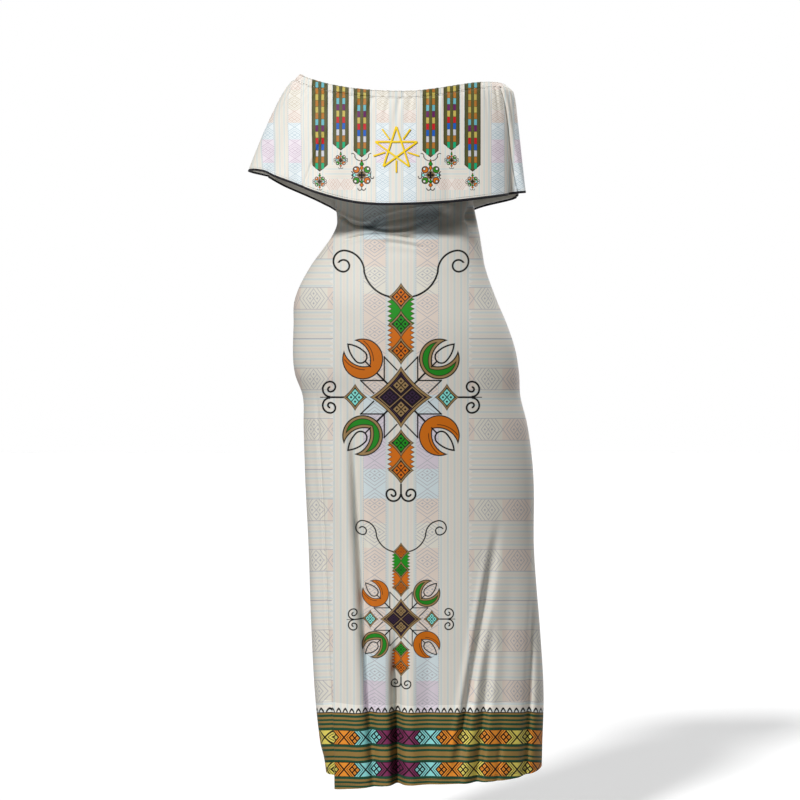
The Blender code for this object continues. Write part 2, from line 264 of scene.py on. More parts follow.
def oval(left, right, back, front, angle, squareness=2.0):
    """Points and outward directions of a level oval, at angles in degrees."""
    centre, half = (left - right) / 2, (left + right) / 2
    c, s = np.cos(np.radians(angle)), np.sin(np.radians(angle))
    reach = np.where(s >= 0, back, front)
    point = np.stack([centre + half * power(c, 2 / squareness), reach * power(s, 2 / squareness)], axis=-1)
    outward = np.stack([reach * power(c, 2 - 2 / squareness), half * power(s, 2 - 2 / squareness)], axis=-1)
    return point, outward / np.linalg.norm(outward, axis=-1, keepdims=True)


def ring_height(ring, angle):
    """Heights along a ring, at angles in degrees."""
    c, s = np.cos(np.radians(angle)), np.sin(np.radians(angle))
    side = ring.z_left * (1 + c) / 2 + ring.z_right * (1 - c) / 2
    centre = np.where(s > 0, ring.z_back, ring.z_front)
    dip = np.where(c > 0, ring.dip_left, ring.dip_right) * np.where(s > 0, 1.0, ring.front_dip)
    return side + (centre - side) * np.abs(s) ** dip


def ring_oval(ring, angle):
    """Points and outward directions of a ring in plan, at angles in degrees."""
    return oval(ring.left, ring.right, ring.back, ring.front, angle)


def fold_depth(long_folds, waist_folds, x, z):
    """How far inwards the folds press the cloth."""
    total = np.zeros_like(x)
    for x_top, z_top, x_low, z_low, width, depth in long_folds:
        share = (z - z_top) / (z_low - z_top)
        middle = x_top + (x_low - x_top) * share
        fade = smooth(share * 3) * smooth((1 - share) * 4)
        total += depth * fade * np.exp(-(((x - middle) / width) ** 2))
    for x_left, x_right, z_left, z_middle, z_right, width, depth in waist_folds:
        share = (x - x_left) / (x_right - x_left)
        sag = 4 * share * (1 - share)
        height = z_left + (z_right - z_left) * share + (z_middle - (z_left + z_right) / 2) * sag
        fade = smooth(share * 5) * smooth((1 - share) * 5)
        total += depth * fade * np.exp(-(((z - height) / width) ** 2))
    return total


# The hem beside the left seam is caught up behind the long fold, up to its crease
HEM_LIFT, HEM_LIFT_X, HEM_LIFT_SLANT, HEM_LIFT_EDGE = 0.026, 0.1335, 0.17, 0.0028
SIDE_FACING, BACK_FACING = 0.45, 0.80  # where folds turn from pressing inwards to pressing straight in


def body_form(angle, level, folded=True):
    """Points on the outside of the body. Level runs from 0 at the top edge to the height of the hem."""
    neck = ring_height(CASING_LOW, angle) - SEAM_GAP
    from_seam = np.degrees(np.arcsin(np.abs(np.sin(np.radians(angle)))))
    rise = smooth((from_seam - ARMHOLE_ANGLES[0]) / (ARMHOLE_ANGLES[1] - ARMHOLE_ANGLES[0]))
    top = UNDERARM + (neck - UNDERARM) * rise
    hem = ring_height(SKIRT_HEM, angle)
    z = np.where(level > CHEST, CHEST + (top - CHEST) * (level - CHEST) / -CHEST, level)
    low = LOW_SKIRT + (hem - LOW_SKIRT) * (level - LOW_SKIRT) / (HEM - LOW_SKIRT)
    z = np.where(level < LOW_SKIRT, low, z)
    left, right, back, front, turn = section_at(z)
    point, outward = oval(left, right, back, front, angle, SQUARENESS)
    at_back = np.sin(np.radians(angle)) > 0
    width = np.where(at_back, HEM_LIFT_EDGE, HEM_LIFT_EDGE * 8)
    behind = smooth((point[..., 0] - point[..., 1] * HEM_LIFT_SLANT - HEM_LIFT_X) / width + 0.5)
    z = z + behind * HEM_LIFT * smooth((LOW_SKIRT - z) / (LOW_SKIRT - HEM))
    under_casing, casing_outward = ring_oval(CASING_LOW, angle)
    under_casing = under_casing - casing_outward * (WALL + SEAM_GAP)
    near = smooth((z - CHEST) / (neck - CHEST))[..., None]
    point = point + (under_casing - point) * near
    pivot = (left - right) / 2
    c, s = np.cos(np.radians(turn)), np.sin(np.radians(turn))
    x = pivot + (point[..., 0] - pivot) * c - point[..., 1] * s
    y = (point[..., 0] - pivot) * s + point[..., 1] * c
    in_back = fold_depth(BACK_FOLDS, BACK_WAIST_FOLDS, x, z)
    in_front = fold_depth(FRONT_FOLDS, FRONT_WAIST_FOLDS, x, z)
    depth = np.where(at_back, in_back, in_front) * smooth(np.abs(np.sin(np.radians(angle))) * 3) * folded
    facing = smooth((np.abs(outward[..., 1]) - SIDE_FACING) / (BACK_FACING - SIDE_FACING))
    sideways = outward[..., 0] * (1 - facing)
    ahead = outward[..., 1] + (np.sign(outward[..., 1]) - outward[..., 1]) * facing
    return np.stack([x - sideways * depth, y - ahead * depth, z], axis=-1)


PRINT_MIDDLE = -0.6  # height about which the print's levels draw together towards the side seams
PRINT_DEPTH = 0.14  # how far from the middle of the dress the print has its true size
PRINT_DRAW = 0.25  # share that the print draws together by, for each metre nearer than that
LEAST_TURN = 0.6  # the print is never stretched further than this share of the cloth


def print_map(points, middle):
    """Places of the print on rows of points: across from where a row passes x = middle, and up."""
    step = np.diff(points, axis=1)
    length = np.hypot(step[..., 0], step[..., 1])
    advance = np.maximum(np.abs(step[..., 0]), LEAST_TURN * length)
    across = np.concatenate([np.zeros((len(points), 1)), np.cumsum(advance, axis=1)], axis=1)
    columns = points.shape[1] // 4, 3 * points.shape[1] // 4
    nearest = np.abs(points[:, columns[0] : columns[1], 0] - middle).argmin(axis=1) + columns[0]
    rows = np.arange(len(points))
    at_nearest = points[rows, nearest, 0]
    facing = np.sign(points[0, columns[0], 0])
    across = across - (across[rows, nearest] - facing * (middle - at_nearest))[:, None]
    draw = 1 - PRINT_DRAW * (PRINT_DEPTH - np.abs(points[..., 1]))
    return np.stack([across * draw, PRINT_MIDDLE + (points[..., 2] - PRINT_MIDDLE) * draw], axis=-1)


def edge_distance(points, axis):
    """How far each point of a grid lies from the nearer end of its row or column, along the cloth."""
    step = np.linalg.norm(np.diff(points, axis=axis), axis=-1)
    start = np.zeros_like(np.take(step, [0], axis=axis))
    run = np.concatenate([start, np.cumsum(step, axis=axis)], axis=axis)
    return np.minimum(run, np.take(run, [-1], axis=axis) - run)


def stations(*stretches):
    """Places along a sheet's side. Each stretch is (where it starts, its steps), and the last is the end."""
    starts = [start for start, _ in stretches]
    rows = [np.linspace(start, end, steps + 1)[:-1] for (start, steps), end in zip(stretches, starts[1:])]
    return np.concatenate([*rows, starts[-1:]])


def unfolded_body(angle, level):
    """The body without its folds, on which the print is laid."""
    return body_form(angle, level, folded=False)


def grid_sheet(name, form, across, down, middle, print_form=None):
    """A sheet from a grid: form(across, down) places its points, and print_map lays the print on them."""
    columns, rows = len(across) - 1, len(down) - 1
    bpy.ops.object.select_all(action="DESELECT")
    bpy.ops.mesh.primitive_grid_add(x_subdivisions=columns, y_subdivisions=rows, size=1, calc_uvs=False)
    sheet = bpy.context.object
    sheet.name = name
    mesh = sheet.data
    flat = np.empty(3 * len(mesh.vertices))
    mesh.vertices.foreach_get("co", flat)
    flat = flat.reshape(-1, 3).round(6)
    order = np.lexsort((flat[:, 0], -flat[:, 1]))
    points = form(*np.meshgrid(across, down))
    printed = print_form(*np.meshgrid(across, down)) if print_form else points
    places = np.empty_like(flat)
    places[order] = points.reshape(-1, 3)
    mesh.vertices.foreach_set("co", places.ravel())
    corners = np.empty(len(mesh.loops), dtype=int)
    mesh.loops.foreach_get("vertex_index", corners)
    from_edges = np.stack([edge_distance(points, 1), edge_distance(points, 0)], axis=-1)
    for title, values in (("print", print_map(printed, middle)), ("edges", from_edges)):
        at_vertices = np.empty((len(flat), 2))
        at_vertices[order] = values.reshape(-1, 2)
        layer = mesh.uv_layers.new(name=title)
        layer.uv.foreach_set("vector", at_vertices[corners].ravel())
    mesh.update()
    return sheet


def give_thickness(sheet, materials, pick=None):
    """Gives a sheet its finishes and its thickness, inwards. The last material is the cloth's inner face."""
    mesh = sheet.data
    for made in materials:
        mesh.materials.append(made)
    if pick:
        prints = np.empty(2 * len(mesh.loops))
        mesh.uv_layers["print"].uv.foreach_get("vector", prints)
        prints = prints.reshape(-1, 4, 2).mean(axis=1)
        mesh.polygons.foreach_set("material_index", pick(prints * 1000).astype(int))
    bpy.ops.object.select_all(action="DESELECT")
    sheet.select_set(True)
    bpy.context.view_layer.objects.active = sheet
    wall = sheet.modifiers.new("thickness", "SOLIDIFY")
    wall.thickness = CLOTH
    wall.offset = -1
    wall.material_offset = len(materials) - 1
    bpy.ops.object.modifier_apply(modifier=wall.name)
    bpy.ops.object.shade_smooth()
    mesh.set_sharp_from_angle(angle=math.radians(60))


class Field:
    """A shader socket that takes part in sums. Each sum adds a Math node to the paint it belongs to."""

    def __init__(self, paint, socket):
        self.paint, self.socket = paint, socket

    def math(self, operation, *others, clamp=False):
        settings = {"operation": operation, "use_clamp": clamp}
        return self.paint.node("ShaderNodeMath", settings, dict(enumerate((self, *others))))

    def __add__(self, other):
        return self.math("ADD", other)

    __radd__ = __add__

    def __sub__(self, other):
        return self.math("SUBTRACT", other)

    def __rsub__(self, other):
        return self.math("MULTIPLY_ADD", -1.0, other)

    def __mul__(self, other):
        return self.math("MULTIPLY", other)

    __rmul__ = __mul__

    def __truediv__(self, other):
        return self.math("DIVIDE", other)

    def __pow__(self, other):
        return self.math("POWER", other)

    def __abs__(self):
        return self.math("ABSOLUTE")

    def least(self, other):
        return self.math("MINIMUM", other)

    def most(self, other):
        return self.math("MAXIMUM", other)

    def fold(self, period):
        """The distance to the nearest whole number of periods."""
        return self.math("PINGPONG", period / 2)

    def output(self, index):
        """Another output of the node that this socket belongs to."""
        return Field(self.paint, self.socket.node.outputs[index])


def srgb(code):
    """A colour from its code as a screen shows it, in the shader's linear values."""
    parts = [int(code[k : k + 2], 16) / 255 for k in (1, 3, 5)]
    return (*(part / 12.92 if part <= 0.04045 else ((part + 0.055) / 1.055) ** 2.4 for part in parts), 1)


EDGE = 0.9  # mm over which a printed edge fades
STITCH = 3.2  # mm from stitch to stitch
SEAM_SINK = 1.6  # mm to each side of a seam


def inside(distance):
    """1 where a distance in mm is below 0."""
    return distance.math("MULTIPLY_ADD", -1 / EDGE, 0.5, clamp=True)


def stroke(distance, width):
    """1 within half a width of where a distance is 0."""
    return abs(distance).math("MULTIPLY_ADD", -1 / EDGE, 0.5 + width / 2 / EDGE, clamp=True)


class Paint:
    """A cloth's material while it is printed: its nodes, the place on the print in mm and the colour."""

    def __init__(self, name, base):
        self.material = bpy.data.materials.new(name)
        self.material.use_nodes = True
        self.tree = self.material.node_tree
        self.surface = self.tree.nodes["Principled BSDF"]
        self.colour = base
        place = self.node("ShaderNodeUVMap", {"uv_map": "print"})
        split = self.node("ShaderNodeSeparateXYZ", {}, {0: place})
        self.across, self.up = split * 1000, split.output(1) * 1000

    def node(self, kind, settings=None, values=None, output=0):
        """Adds a node: first its settings, then its sockets' values or links."""
        made = self.tree.nodes.new(kind)
        for key, value in (settings or {}).items():
            setattr(made, key, value)
        for key, value in (values or {}).items():
            if isinstance(value, Field):
                self.tree.links.new(value.socket, made.inputs[key])
            else:
                made.inputs[key].default_value = value
        return Field(self, made.outputs[output])

    def ramp(self, share, stops):
        """A colour for each stretch of a share. Stops are (where it starts, colour)."""
        made = self.node("ShaderNodeValToRGB", {}, {0: share})
        ramp = made.socket.node.color_ramp
        ramp.interpolation = "CONSTANT"
        while len(ramp.elements) < len(stops):
            ramp.elements.new(1)
        for element, (start, colour) in zip(ramp.elements, stops):
            element.position = start
            element.color = colour
        return made

    def dye(self, mask, colour):
        """Prints a colour over what is there, where the mask is 1."""
        values = {0: mask, 6: self.colour, 7: colour}
        self.colour = self.node("ShaderNodeMix", {"data_type": "RGBA"}, values, output=2)

    def finish(self, rows, thread, brightness=1.0, roughness=0.56, sheen=0.08):
        """Lays the colour on satin-faced cloth: fine knit ribs, small unevenness and a soft sheen.

        The cloth sinks in at its side seams and at rows of stitches, at distances in mm from its other edges.
        """
        place = self.node("ShaderNodeTexCoord").output(3)
        edges = self.node("ShaderNodeUVMap", {"uv_map": "edges"})
        distances = self.node("ShaderNodeSeparateXYZ", {}, {0: edges})
        from_side, from_end = distances * 1000, distances.output(1) * 1000
        sunk = inside(from_side - SEAM_SINK)
        for row in rows:
            line = stroke(from_end - row, 0.8)
            self.dye(line * inside(self.across.fold(STITCH) - STITCH * 0.4), thread)
            sunk = sunk.most(line)
        cloudy = self.node("ShaderNodeTexNoise", {}, {"Vector": place, "Scale": 9.0, "Detail": 3.0})
        grain = self.node("ShaderNodeTexNoise", {}, {"Vector": place, "Scale": 900.0, "Detail": 1.0})
        # A brightness below 1 darkens the whole colour evenly; on the body's cloth it is painted shade beside
        # the brighter flounce.
        tone = (cloudy * 0.05 + grain * 0.015 + 0.965) * brightness
        shaded = self.node(
            "ShaderNodeMix",
            {"data_type": "RGBA", "blend_type": "MULTIPLY"},
            {0: 1.0, 6: self.colour, 7: self.node("ShaderNodeCombineColor", {}, {0: tone, 1: tone, 2: tone})},
            output=2,
        )
        ribs = self.across.fold(0.8) * 0.9 + self.up.fold(1.1) * 0.5
        height = ribs * 0.000012 + grain * 0.000008 + cloudy * 0.0012 - sunk * 0.0004
        bump = self.node("ShaderNodeBump", {}, {"Strength": 0.6, "Distance": 1.0, "Height": height})
        rough = roughness - 0.04 + 0.08 * cloudy
        inputs = self.surface.inputs
        self.tree.links.new(shaded.socket, inputs["Base Color"])
        self.tree.links.new(rough.socket, inputs["Roughness"])
        self.tree.links.new(bump.socket, inputs["Normal"])
        inputs["Sheen Weight"].default_value = sheen
        inputs["Sheen Roughness"].default_value = 0.4
        inputs["Specular IOR Level"].default_value = 0.22
        return self.material


BLACK = srgb("#080606")
TAN = srgb("#a5875a")
ORANGE = srgb("#dd7410")
GREEN = srgb("#1f9a1c")
WARM_WHITE = srgb("#f2efe8")
CREAM = srgb("#eeeadd")
PEACH = srgb("#efe0d3")
PALE_PEACH = srgb("#ede5db")
MIST = srgb("#dbe2e1")
ICE = srgb("#deebee")
LILAC = srgb("#e3d8e2")
LINE_GREY = srgb("#bdbcc2")
INK_BLUE = srgb("#c2cdd5")


DIAMOND, CHEVRON, LEAN = 0.245, 0.374, 0.2725  # shares of a woven row's pitch


def tibeb(along, across, pitch, half, width, chevron=0, dot=0.034):
    """A woven row of quartered diamonds with crosses between: masks of its lines and of its dots."""
    slant = LEAN * pitch / half
    a, b = along.fold(pitch), abs(across) * slant
    reach = a + b
    wide = width * math.hypot(1, slant)
    lines = stroke(reach - DIAMOND * pitch, wide).most(stroke(reach - 0.5 * pitch, wide))
    lines = lines.most(stroke(reach - CHEVRON * pitch, (chevron or width) * math.hypot(1, slant)))
    lines = lines.most(stroke(a - b, wide) * inside(reach - DIAMOND * pitch))
    dots = (abs(a - DIAMOND / 2 * pitch) + b).least(a + abs(b - DIAMOND / 2 * pitch))
    return lines, inside(dots - dot * pitch)


def stripes(paint, place, period, mask):
    """Soft pale stripes, mist and peach on cream."""
    off = place.fold(period)
    paint.dye(mask, CREAM)
    paint.dye(inside(off - 0.14 * period) * mask, MIST)
    paint.dye(inside(0.33 * period - off) * mask, PALE_PEACH)


# The ground print, in mm: pale woven columns and stripes down the middle, banded bars at the sides

COLUMN_MIDDLE, COLUMN_HALF, COLUMN_PITCH = 48.8, 20.4, 53.0
COLUMN_START = -313.6
SIDE_EDGE = 126.0
BAR_PERIOD, BAR_HALF, BAR_PITCH = 242.7, 20.2, 53.9
BAR_LEVELS, BAR_MIDDLE = (-317.3, -410.7), 162
RULE_LEVEL = -485.2
COLUMN_SHADES = [
    (-1170, LILAC), (-1123, ICE), (-1072, PEACH), (-873, CREAM), (-831, PEACH), (-786, ICE), (-729, LILAC),
    (-627, ICE), (-590, PEACH), (-404, CREAM), (-354, PEACH), (-306, ICE), (-190, PEACH),
]  # height where each shade of the woven columns starts, in mm
COLUMN_FOOT, COLUMN_RUN = -1170, 1170


def print_ground(paint):
    """The body's ground."""
    side = abs(paint.across)
    in_column = abs(side - COLUMN_MIDDLE) - COLUMN_HALF
    stripes(paint, side, 12.4, inside(side - SIDE_EDGE))
    shades = [((start - COLUMN_FOOT) / COLUMN_RUN, shade) for start, shade in COLUMN_SHADES]
    paint.dye(inside(in_column), paint.ramp((paint.up - COLUMN_FOOT) / COLUMN_RUN, shades))
    lines, dots = tibeb(paint.up - COLUMN_START, side - COLUMN_MIDDLE, COLUMN_PITCH, COLUMN_HALF, 1.1)
    paint.dye(lines.most(dots) * inside(in_column), LINE_GREY)
    paint.dye(stroke(in_column - 0.8, 1.8) * inside(paint.up.fold(3.4) - 1.1), INK_BLUE)
    teeth = paint.up.fold(11.0) * 1.6
    outer = inside(SIDE_EDGE - 2 + teeth - side)
    stripes(paint, paint.up - 6, 12.3, outer)
    level = (paint.up - BAR_LEVELS[0]).fold(BAR_PERIOD).least((paint.up - BAR_LEVELS[1]).fold(BAR_PERIOD))
    in_bar = level - BAR_HALF
    paint.dye(stroke((paint.up - RULE_LEVEL).fold(BAR_PERIOD), 1.8) * outer, LINE_GREY)
    beyond = inside(SIDE_EDGE - side)
    paint.dye(inside(in_bar) * beyond, CREAM)
    paint.dye(inside(in_bar) * beyond * inside(26.0 - (side - BAR_MIDDLE).fold(2 * BAR_PITCH)), PEACH)
    lines, dots = tibeb(side - BAR_MIDDLE, level, BAR_PITCH, BAR_HALF, 1.1)
    paint.dye(lines.most(dots).most(stroke(in_bar, 1.2)) * inside(in_bar - 0.6) * beyond, LINE_GREY)


# The hem's border, in mm below its top

BORDER_TOP = -1170.0
BORDER_DEPTH = 152.0
TAN_LINE = srgb("#93753f")
DEEP_GREEN = srgb("#1d4a34")
BLACK_ROWS = (7.6, 40.4, 99.6)
TAN_ROWS = (9.2, 16.2, 24.2, 32.0, 71.6, 79.9, 91.7, 131.1, 138.7, 146.3)
GREEN_ROWS = (12.0, 20.2, 27.9, 35.9, 67.4, 75.6, 88.0, 95.6, 126.4, 135.0, 142.7, 150.6)
BORDER_ROWS = sorted(
    [(start, BLACK) for start in BLACK_ROWS]
    + [(start, TAN_LINE) for start in TAN_ROWS]
    + [(start, DEEP_GREEN) for start in GREEN_ROWS]
)
BAND_MIDDLES, BAND_HALF, BAND_PITCH, BAND_CENTRE = (54.2, 113.6), 12.6, 40.1, -5.4
PURPLE, CYAN, GOLD, AMBER = srgb("#7d3059"), srgb("#8fdad8"), srgb("#e2d264"), srgb("#ea9130")
BAND_SHADES = (PURPLE, CYAN, AMBER, GOLD, AMBER, GOLD, AMBER, GOLD, AMBER, GOLD)
SCALLOP_PITCH, SCALLOP_HALF, SCALLOP_HEIGHT, SCALLOP_ROUND = 12.2, 3.9, 7.0, 1.45
SCALLOP_FOOT = 8.0
BAND_LINE, BAND_CHEVRON, BAND_DOT = 2.5, 1.0, 0.022


def print_border(paint):
    """The striped hem border, with two woven bands and a row of small arches on top."""
    drop = BORDER_TOP - paint.up
    arch = (paint.across + 5.6).fold(SCALLOP_PITCH) / SCALLOP_HALF
    rise = ((SCALLOP_FOOT - drop) / SCALLOP_HEIGHT).most(0.0)
    ring = (arch**SCALLOP_ROUND + rise**SCALLOP_ROUND) ** (1 / SCALLOP_ROUND) * 4.6 - 4.6
    paint.dye(stroke(ring, 2.8) * inside(drop - SCALLOP_FOOT), BLACK)
    rows = [(0.0, WARM_WHITE)] + [(start / BORDER_DEPTH, shade) for start, shade in BORDER_ROWS]
    paint.dye(inside(BORDER_ROWS[0][0] - drop), paint.ramp(drop / BORDER_DEPTH, rows))
    from_first, from_second = drop - BAND_MIDDLES[0], drop - BAND_MIDDLES[1]
    level = abs(from_first).least(abs(from_second))
    out = abs(paint.across - BAND_CENTRE)
    lean = level * (-LEAN / BAND_HALF) + DIAMOND
    far = (out - 4.5 * BAND_PITCH).math("GREATER_THAN", 0.0)
    count = (out / BAND_PITCH + lean * (1 - 2 * far)).math("FLOOR")
    shades = [(k / len(BAND_SHADES), shade) for k, shade in enumerate(BAND_SHADES)]
    shade = paint.ramp((count + 0.5) / len(BAND_SHADES), shades)
    paint.dye(inside(level - BAND_HALF), shade)
    lines, dots = tibeb(out, level, BAND_PITCH, BAND_HALF, BAND_LINE, BAND_CHEVRON, BAND_DOT)
    paint.dye(lines.most(dots) * inside(level - BAND_HALF), BLACK)


# The cross ornament, in mm from its middle: a quartered diamond between crescents, with a chain above and
# below. The lower one is the same at a smaller scale.

CROSS_HEIGHTS = (-593.9, -1004.9)
LOW_CROSS_SCALE = 0.67
DARK_PURPLE = srgb("#1d1020")
MID_PURPLE = srgb("#3a2440")
THIN_PURPLE = srgb("#4d3555")
CELL_CYAN = srgb("#94f0e4")
RUST = srgb("#d8730f")
LEAF_GREEN = srgb("#23901f")
LINE, FINE_LINE = 3.5, 2.5
BOW = 0.84
TENDRIL = (((106.6, 243.6), 10.9), ((105.5, 252.2), 19.7), ((107.7, 232.6), 39.5), ((9.1, 245.9), 60.6))
ARM_SCROLL = (((131.0, 15.0), 14.0), ((131.0, 19.6), 9.4), ((131.0, 14.6), 4.4))
FOOT_CURL = (((13.9, -179.3), 13.2), ((18.4, -179.3), 8.7), ((13.8, -179.3), 4.1))  # middles and radii
FACETS = (
    ((31.0, 31.0), (74.6, 31.0), FINE_LINE),
    ((74.6, 31.0), (50.6, 7.6), FINE_LINE),
    ((43.4, 43.4), (26.0, 26.0), LINE),
)  # ends and width
CHAIN = ((186.1, ORANGE), (135.7, GREEN), (86.0, ORANGE), (-84.5, GREEN), (-135.4, ORANGE))
CROSS_SPLIT = -802.0  # height between the two


def box_distance(x, y, centre, across, up):
    """Below 0 inside an upright box, given by its middle and half sizes."""
    return (abs(x - centre[0]) - across).most(abs(y - centre[1]) - up)


def segment(x, y, start, end):
    """The distance from a line between two points."""
    length = math.dist(start, end)
    ux, uy = (end[0] - start[0]) / length, (end[1] - start[1]) / length
    middle = ((start[0] + end[0]) / 2, (start[1] + end[1]) / 2)
    along = x * ux + (y * uy - (middle[0] * ux + middle[1] * uy))
    off = y * ux - (x * uy + (middle[1] * ux - middle[0] * uy))
    return abs(off).most(abs(along) - length / 2)


def circle(x, y, centre, radius):
    """The signed distance from a circle."""
    dx, dy = x - centre[0], y - centre[1]
    return (dx * dx + dy * dy) ** 0.5 - radius


def scroll(x, y, turns, first):
    """A scroll of three half turns: the outer and inner where a mask is 1, the middle one where it is 0."""
    outer, middle, inner = (stroke(circle(x, y, centre, radius), LINE) for centre, radius in turns)
    return (outer.most(inner) * first).most(middle * (1 - first))


def bowed_diamond(x, y, across, up):
    """The signed distance from a diamond whose sides bow inwards."""
    total = abs(x / across) ** BOW + abs(y / up) ** BOW
    return (total ** (1 / BOW) - 1) * (across * up / math.hypot(across, up))


def quartered(paint, x, y, across, up, shade):
    """Four small cells in a black diamond, each with a black heart."""
    a, b = abs(x / across), abs(y / up)
    unit = across * up / math.hypot(across, up)
    paint.dye(inside((a + b - 1) * unit), BLACK)
    cell = (abs(a - 0.5) + b).least(a + abs(b - 0.5))
    paint.dye(inside((cell - 0.42) * unit) * inside((0.16 - cell) * unit), shade)


def bordered_diamond(paint, x, y, across, up, shade):
    """A bowed diamond: a black edge, a tan border, black again, and four cells inside."""
    off = bowed_diamond(x, y, across, up)
    paint.dye(inside(off), BLACK)
    paint.dye(stroke(off + 2.8, 2.8), TAN)
    quartered(paint, x, y, across * 0.64, up * 0.64, shade)


def print_cross(paint):
    """Both cross ornaments."""
    low = (paint.up - CROSS_SPLIT).math("LESS_THAN", 0.0)
    zoom = low.math("MULTIPLY_ADD", 1 / LOW_CROSS_SCALE - 1, 1.0)
    x = paint.across * zoom
    y = (paint.up - CROSS_HEIGHTS[0] + low * (CROSS_HEIGHTS[0] - CROSS_HEIGHTS[1])) * zoom
    side, away = abs(x), abs(y)

    # tendrils: the inner curl, its outer turn, the shoulder, and the sweep down to the chain
    arcs = (stroke(circle(side, y, centre, radius), LINE) for centre, radius in TENDRIL)
    curl, turn, shoulder, sweep = arcs
    mask = (curl * inside((side - 109.5).least(249.0 - y))).most(turn * inside(106.0 - side))
    mask = mask.most(shoulder * inside(side - 106.5) * inside(233.0 - y))
    paint.dye(mask.most(sweep * inside(y - 234.5) * inside(22.0 - side)), BLACK)

    # arms: a line to a pair of scrolls on each side
    paint.dye(stroke(y, LINE) * inside(abs(side - 119.0) - 13.0), BLACK)
    paint.dye(stroke(y, 1.6) * inside(abs(side - 139.0) - 11.0), BLACK)
    paint.dye(scroll(side, away, ARM_SCROLL, (side - ARM_SCROLL[0][0][0]).math("GREATER_THAN", 0.0)), BLACK)

    # foot: a stem that ends in two curls
    paint.dye(inside(box_distance(x, y, (0, -170.0), 1.7, 9.5)), BLACK)
    paint.dye(scroll(side, y, FOOT_CURL, (y - FOOT_CURL[0][0][1]).math("LESS_THAN", 0.0)), BLACK)

    # facets between the arms
    small, large = side.least(away), side.most(away)
    for start, end, width in FACETS:
        paint.dye(stroke(segment(large, small, start, end), width), BLACK)

    # crescents: rust with fine strokes, or green set in tan, each round a leaf
    horn = circle(side, away, (71.0, 71.0), 36.9)
    bite = circle(side, away, (68.0, 96.0), 39.5).most(circle(side, away, (96.0, 68.0), 39.5))
    moon = horn.most(bite * -1)
    paint.dye(inside(moon - 1.0), BLACK)
    paint.dye(inside(moon + 1.2), TAN)
    green = (x * y).math("GREATER_THAN", 0.0)
    paint.dye(inside(moon + 5.2) * green, BLACK)
    paint.dye(inside(moon + 6.6) * green, LEAF_GREEN)
    paint.dye(inside(moon + 1.2) * (1 - green), RUST)
    mask = stroke(bite - 5.5, 1.3) * inside(moon + 3.0) * inside(16.0 - abs(side - away)) * (1 - green)
    paint.dye(mask, BLACK)
    along, off = (side + away) * math.sqrt(0.5), (side - away) * math.sqrt(0.5)
    past = (along - 106.0).math("GREATER_THAN", 0.0) * 40.7
    dx, dy = along - 106.0, abs(off) + past
    leaf = (dx * dx + dy * dy) ** 0.5 - past - 11.7
    paint.dye(stroke(leaf, 3.0), BLACK)
    paint.dye(inside(box_distance(along, off, (87.0, 0), 8.0, 1.4)), BLACK)

    # the main diamond: black and tan edges, dark field, tan cells up and down, purple cells to each side
    off = bowed_diamond(x, y, 58.4, 58.4)
    paint.dye(inside(off), BLACK)
    paint.dye(stroke(off + 3.9, 4.6), TAN)
    paint.dye(stroke(off + 9.2, 1.3), THIN_PURPLE)
    paint.dye(inside(off + 10.8), DARK_PURPLE)
    quartered(paint, x, away - 22.2, 15.6, 15.6, TAN)
    arm = (side - 20.9) / 22.2
    edge = (abs(arm) + away / 19.8 - 1) * 14.8
    paint.dye(stroke(edge + 0.8, 1.5), TAN)
    quartered(paint, side - 20.9, y, 15.4, 13.8, MID_PURPLE)

    # diamonds on the arms
    bordered_diamond(paint, side - 85.1, y, 23.0, 25.6, CELL_CYAN)

    # the chain: serrated strips, and five diamonds over them
    shift = x.math("GREATER_THAN", 0.0) * 4.4
    teeth = (y - 177.1 + shift).fold(8.85) * (-7.8 / 4.42) + 25.6
    strip = box_distance(x, y, (0, 136.0), 30.0, 51.0).most(side - teeth)
    paint.dye(inside(strip), BLACK)
    paint.dye(inside(strip + 1.8), ORANGE)
    paint.dye(inside(strip + 1.8) * (y - 133.0).math("GREATER_THAN", 0.0), GREEN)
    strip = box_distance(x, y, (0, -110.0), 30.0, 25.5).most(side - teeth)
    paint.dye(inside(strip), BLACK)
    paint.dye(inside(strip + 1.8), ORANGE)
    for height, shade in CHAIN:
        bordered_diamond(paint, x, y - height, 24.3, 26.4, shade)


CROSS_FIELD = (156, -1145, -305)  # mm that the crosses' finish takes up: half across, foot and head
BORDER_FIELD = -1160  # mm, below which the border's finish starts
HEM_ROWS = (9.0, 11.5)  # mm, rows of stitches above the hem
PALE_THREAD, DARK_THREAD = srgb("#c9c6be"), srgb("#2c2f1f")
# Painted shade: the body's print is darkened evenly beside the flounce's, standing in for the lesser light
# that the body gets.
BODY_PAINTED_SHADE = 0.82  # of the body's print, beside the flounce's
BACK_MIDDLE = 0.002  # where the middle of the back's print lies


def back_finishes(prints):
    """Which finish each face of the back panel takes: ground, cross ornament or hem border."""
    across, up = prints[:, 0], prints[:, 1]
    half, foot, head = CROSS_FIELD
    has_cross = (np.abs(across) < half) & (up > foot) & (up < head)
    return np.where(up < BORDER_FIELD, 2, np.where(has_cross, 1, 0))


def front_finishes(prints):
    """Which finish each face of the front panel takes: ground or hem border."""
    return np.where(prints[:, 1] < BORDER_FIELD, 1, 0)


def printed_cloth(name, layers, rows, thread, brightness=1.0):
    """The finish of a printed cloth, its print laid layer by layer on warm white."""
    paint = Paint(name, WARM_WHITE)
    for lay in layers:
        lay(paint)
    return paint.finish(rows, thread, brightness)


# The body's ground and cross finishes are darkened evenly as painted shade, beside the brighter flounce.
ground_cloth = printed_cloth("printed_ground", [print_ground], HEM_ROWS, PALE_THREAD, BODY_PAINTED_SHADE)
with_cross = [print_ground, print_cross]
cross_cloth = printed_cloth("printed_cross", with_cross, HEM_ROWS, PALE_THREAD, BODY_PAINTED_SHADE)
border_cloth = printed_cloth("printed_border", [print_ground, print_border], HEM_ROWS, DARK_THREAD)
inner_cloth = Paint("cloth_inside", WARM_WHITE).finish(HEM_ROWS, PALE_THREAD, roughness=0.62, sheen=0.15)

